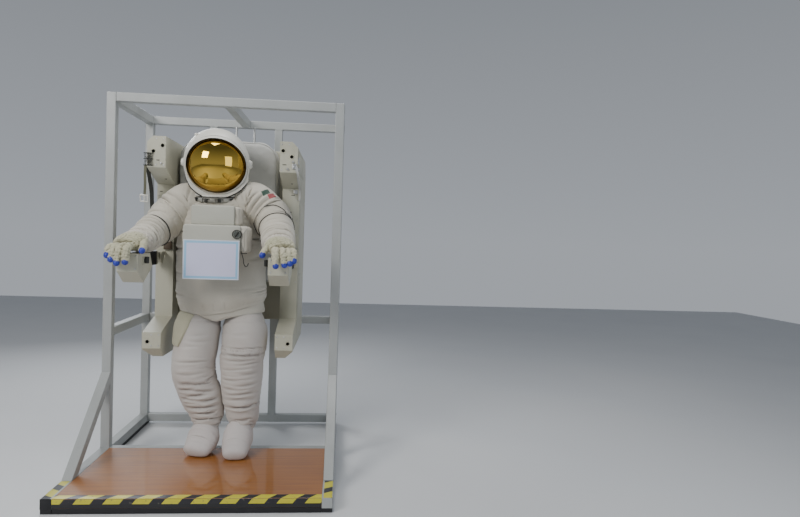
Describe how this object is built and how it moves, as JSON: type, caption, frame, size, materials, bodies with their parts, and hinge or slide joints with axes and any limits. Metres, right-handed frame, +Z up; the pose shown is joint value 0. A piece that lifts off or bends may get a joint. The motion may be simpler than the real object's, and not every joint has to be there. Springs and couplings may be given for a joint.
{
  "type": "astronaut jet backpack with space suit on a display stand",
  "caption": "Museum replica of a jet backpack with an empty space suit in it, hung in a square-tube stand over a low deck. The gold visor lifts and the control arms fold down.",
  "frame": {"origin": "on the floor, under the middle of the display stand", "axes": "+Z up, -Y the front that faces the visitor, +X to the visitor's right"},
  "size_m": [1.31, 1.45, 2.056],
  "materials": {
    "frame_paint": "light grey-white gloss paint",
    "black_rubber": "matt",
    "deck_panel": "orange-brown high-gloss varnish",
    "backpack_shell": "cream satin paint",
    "helmet_white": "satin",
    "chest_pack_grey": "smooth coated cloth over a hard box",
    "gold_mirror": "gold mirror coat",
    "dark_bubble": "gloss",
    "laminated_card": "gloss laminate",
    "glove_fabric": "ribbed cloth",
    "boot_fabric": "plain soft cloth",
    "pack_cover": "smooth white cloth cover",
    "suit_fabric": "off-white wrinkled cloth",
    "collar_metal": "satin",
    "bare_steel": "zinc plated"
  },
  "bodies": {
    "display": {"base_rail_left": "frame_paint", "base_rail_middle": "frame_paint", "base_rail_rear": "frame_paint", "base_rail_right": "frame_paint", "base_strip_left": "black_rubber", "base_strip_right": "black_rubber", "boot_left": "boot_fabric", "boot_right": "boot_fabric", "brace_left": "frame_paint", "brace_right": "frame_paint", "chest_box": "chest_pack_grey", "chest_plate": "chest_pack_grey", "deck": "deck_panel", "forearm_left": "suit_fabric", "forearm_right": "suit_fabric", "front_post_left": "frame_paint", "front_post_right": "frame_paint", "front_skirt": "black_rubber", "glove_left": "glove_fabric", "glove_right": "glove_fabric", "hanger_left": "bare_steel", "hanger_right": "bare_steel", "helmet_bubble": "dark_bubble", "helmet_shell": "helmet_white", "leg_left": "suit_fabric", "leg_right": "suit_fabric", "life_support_box": "pack_cover", "middle_rail_left": "frame_paint", "middle_rail_right": "frame_paint", "mount_bracket": "bare_steel", "neck_ring": "collar_metal", "pack_body": "backpack_shell", "rear_middle_rail_left": "frame_paint", "rear_middle_rail_right": "frame_paint", "rear_post_left": "frame_paint", "rear_post_right": "frame_paint", "rear_upright_left": "frame_paint", "rear_upright_right": "frame_paint", "sign_card": "laminated_card", "top_rail_centre": "frame_paint", "top_rail_front": "frame_paint", "top_rail_left": "frame_paint", "top_rail_rear": "frame_paint", "top_rail_right": "frame_paint", "torso": "suit_fabric", "tower_left": "backpack_shell", "tower_right": "backpack_shell", "upper_arm_left": "suit_fabric", "upper_arm_right": "suit_fabric"},
    "visor": {"visor": "gold_mirror"},
    "control_arm_left": {"control_arm_left": "backpack_shell"},
    "control_arm_right": {"control_arm_right": "backpack_shell"}
  },
  "joints": [
    {"name": "visor_hinge", "type": "hinge", "parent": "display", "child": "visor", "pos_m": [-0.043, -0.053, 1.681], "axis": [-1, 0, 0], "range_deg": [0, 80]},
    {"name": "control_arm_left_hinge", "type": "hinge", "parent": "display", "child": "control_arm_left", "pos_m": [-0.379, 0.042, 1.145], "axis": [1, 0, 0], "range_deg": [0, 40]},
    {"name": "control_arm_right_hinge", "type": "hinge", "parent": "display", "child": "control_arm_right", "pos_m": [0.379, 0.042, 1.145], "axis": [1, 0, 0], "range_deg": [0, 40]}
  ]
}
